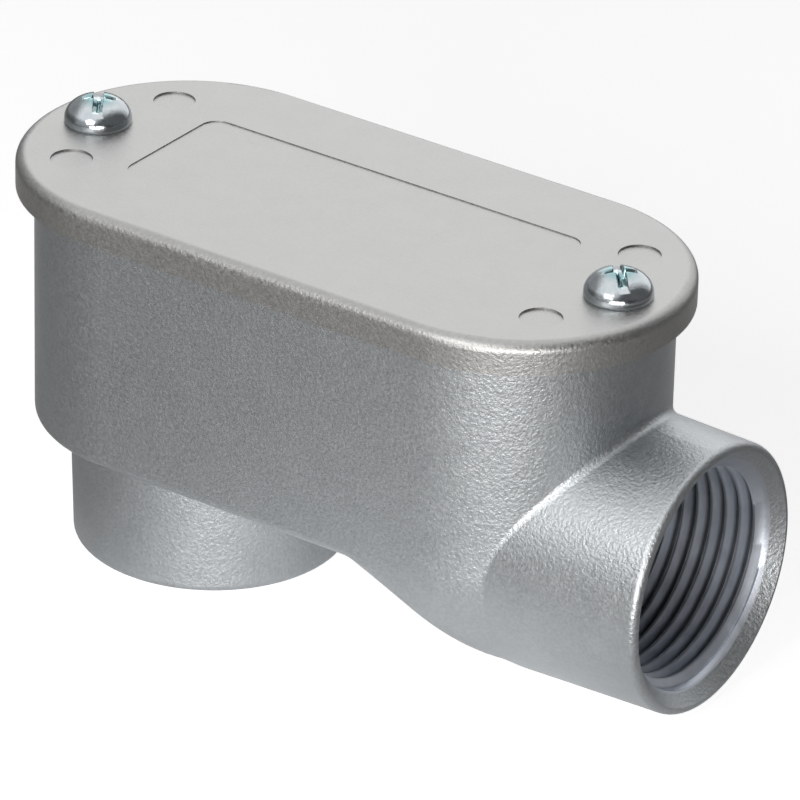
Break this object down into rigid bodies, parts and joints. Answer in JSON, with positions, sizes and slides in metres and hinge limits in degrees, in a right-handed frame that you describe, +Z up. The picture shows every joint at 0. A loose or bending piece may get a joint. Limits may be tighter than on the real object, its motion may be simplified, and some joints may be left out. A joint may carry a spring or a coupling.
{
  "type": "conduit body",
  "caption": "Cast aluminium conduit body: a long covered box with a threaded hub under it and a threaded hub at its end, joined by a curved ramp.",
  "frame": {"origin": "centre of the bottom hub's face, where the conduit enters from below", "axes": "+Z up out of the bottom hub towards the cover, +X along the box towards the side hub's mouth, Y across the box"},
  "size_m": [0.0886, 0.0382, 0.0483],
  "materials": {
    "body_casting": "blasted aluminium casting with a fine orange-peel grain",
    "cover_casting": "blasted aluminium casting with a fine even grain",
    "gasket_rubber": "matt black",
    "screw_steel": "bright zinc plate"
  },
  "bodies": {
    "housing": {"conduit_body": "body_casting", "gasket": "gasket_rubber"},
    "cover": {"cover": "cover_casting"},
    "screw_left": {"cover_screw_left": "screw_steel"},
    "screw_right": {"cover_screw_right": "screw_steel"}
  },
  "joints": [
    {"name": "cover_lift", "type": "slide", "parent": "housing", "child": "cover", "axis": [0, 0, 1], "range_m": [0, 0.03]},
    {"name": "screw_left_back_out", "type": "slide", "parent": "cover", "child": "screw_left", "axis": [0, 0, 1], "range_m": [0, 0.0108]},
    {"name": "screw_right_back_out", "type": "slide", "parent": "cover", "child": "screw_right", "axis": [0, 0, 1], "range_m": [0, 0.0108]}
  ]
}
